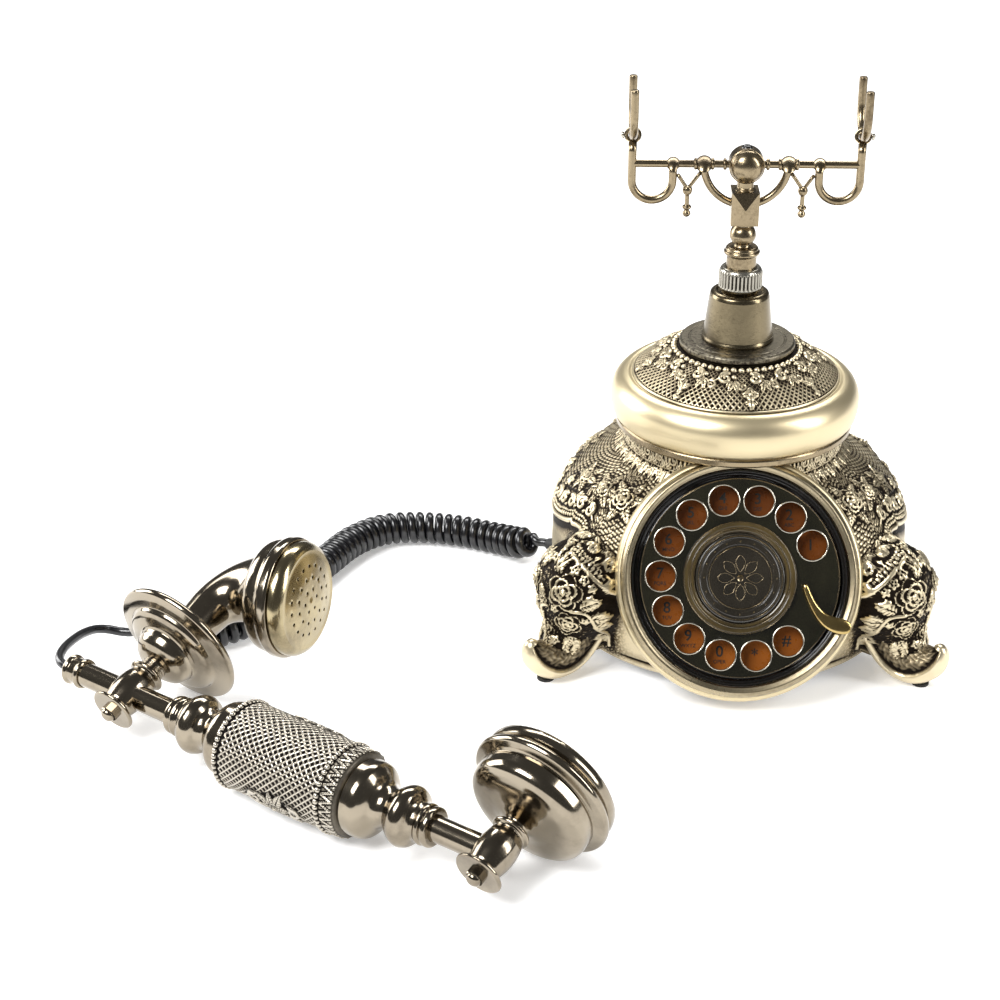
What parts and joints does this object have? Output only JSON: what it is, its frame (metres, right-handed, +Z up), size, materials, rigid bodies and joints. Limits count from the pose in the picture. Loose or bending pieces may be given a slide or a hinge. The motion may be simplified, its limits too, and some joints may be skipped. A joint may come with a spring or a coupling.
{
  "type": "rotary telephone",
  "caption": "Ornate antique-style desk telephone with a rotary dial, a sprung cradle with two forks, and a turned handset lying beside it on a curly cord.",
  "frame": {"origin": "middle of the assembly on the table plane, with the cord left out", "axes": "+Z up, -Y out of the dial's side, +X from the handset towards the base"},
  "size_m": [0.3652, 0.3028, 0.2377],
  "materials": {
    "bronze": "antique-brass paint with dark patina on cast resin",
    "brass": "satin antique brass plate",
    "polished_brass": "polished antique brass plate",
    "dark_brass": "stippled dark brass",
    "nickel": "bright nickel plate",
    "steel": "plain steel",
    "gear_brass": "plain brass",
    "wheel_plastic": "dark olive smoked glossy plastic",
    "black_gloss": "glossy black",
    "black_matte": "moulded black",
    "number_plate": "amber-brown with dark digits",
    "pcb": "green laminate",
    "rubber": "black rubber"
  },
  "bodies": {
    "base": {"body_shell": "bronze", "foot_pads": "rubber", "bottom_cover": "black_matte", "cover_screws": "steel", "circuit_board": "pcb", "loudspeaker": "black_matte", "line_jack": "black_matte", "switch_housing": "black_matte", "cord_gland": "rubber", "dial_bezel": "bronze", "dial_well": "black_gloss", "number_plate": "number_plate", "dial_frame": "steel", "dial_screws": "steel", "return_spring": "steel", "neck_ring": "bronze", "cap_shell": "bronze", "flange_disc": "dark_brass", "cone_post": "brass", "knurled_nut": "nickel", "switch_bracket": "steel", "hook_switch": "black_matte", "cradle_spring": "steel", "coil_cord": "black_gloss"},
    "dial_wheel": {"finger_wheel": "wheel_plastic", "hole_rims": "nickel", "wheel_hub": "black_gloss", "dial_gear": "gear_brass"},
    "governor_rotor": {"governor": "gear_brass"},
    "centre_button": {"handsfree_button": "black_gloss"},
    "stop_key": {"finger_stop": "brass"},
    "cradle": {"cradle_stem": "brass", "cradle_block": "brass", "cradle_hub": "brass", "hub_plug": "black_matte", "cradle_bar": "brass", "pendants": "brass", "fork_left": "brass", "fork_right": "brass", "fork_screws": "brass"},
    "switch_lever": {"hook_lever": "steel"},
    "ringer_slider": {"ringer_switch": "steel"},
    "handset": {"handset_rod": "polished_brass", "end_cap": "polished_brass", "cord_bush": "rubber", "grip_sleeve": "bronze", "grip_collar_left": "polished_brass", "grip_collar_right": "polished_brass", "mouth_tee": "polished_brass", "ear_tee": "polished_brass", "tee_washers": "polished_brass", "cap_nuts": "polished_brass", "ear_cup": "polished_brass", "ear_cap": "polished_brass", "ear_capsule": "black_matte", "mouth_dish": "polished_brass", "elbow_tube": "polished_brass", "bell_shell": "polished_brass", "bell_cap": "polished_brass", "cord_lead": "black_gloss"}
  },
  "joints": [
    {"name": "dial_turn", "type": "hinge", "parent": "base", "child": "dial_wheel", "pos_m": [0.094, 0.0064, 0.052], "axis": [0, 0.8829, -0.4695], "range_deg": [0, 315], "stiffness_Nm_per_rad": 0.004, "springref_deg": -34.38},
    {"name": "governor_spin", "type": "hinge", "parent": "base", "child": "governor_rotor", "pos_m": [0.094, -0.00526, 0.03008], "axis": [0, 0.8829, -0.4695], "range_deg": [-1261, 1]},
    {"name": "centre_press", "type": "slide", "parent": "base", "child": "centre_button", "axis": [0, 0.8829, -0.4695], "range_m": [0, 0.001], "stiffness_N_per_m": 400, "springref_m": -0.001},
    {"name": "stop_press", "type": "slide", "parent": "base", "child": "stop_key", "axis": [0, 0.8829, -0.4695], "range_m": [0, 0.0008], "stiffness_N_per_m": 400, "springref_m": -0.001},
    {"name": "cradle_sink", "type": "slide", "parent": "base", "child": "cradle", "axis": [0, 0, -1], "range_m": [0, 0.004], "stiffness_N_per_m": 700, "springref_m": -0.004, "deforming": ["cradle_spring"]},
    {"name": "lever_turn", "type": "hinge", "parent": "base", "child": "switch_lever", "pos_m": [0.11, 0.0724, 0.0926], "axis": [0, -1, 0], "range_deg": [-0.5, 15.6]},
    {"name": "ringer_slide", "type": "slide", "parent": "base", "child": "ringer_slider", "axis": [1, 0, 0], "range_m": [0, 0.004]},
    {"name": "handset_lift", "type": "slide", "parent": "base", "child": "handset", "axis": [0, 0, 1], "range_m": [0, 0.2]}
  ],
  "couplings": [
    {"joint": "governor_spin", "follows": "dial_turn", "ratio": -4},
    {"joint": "lever_turn", "follows": "cradle_sink", "rad_per_m": 66}
  ]
}
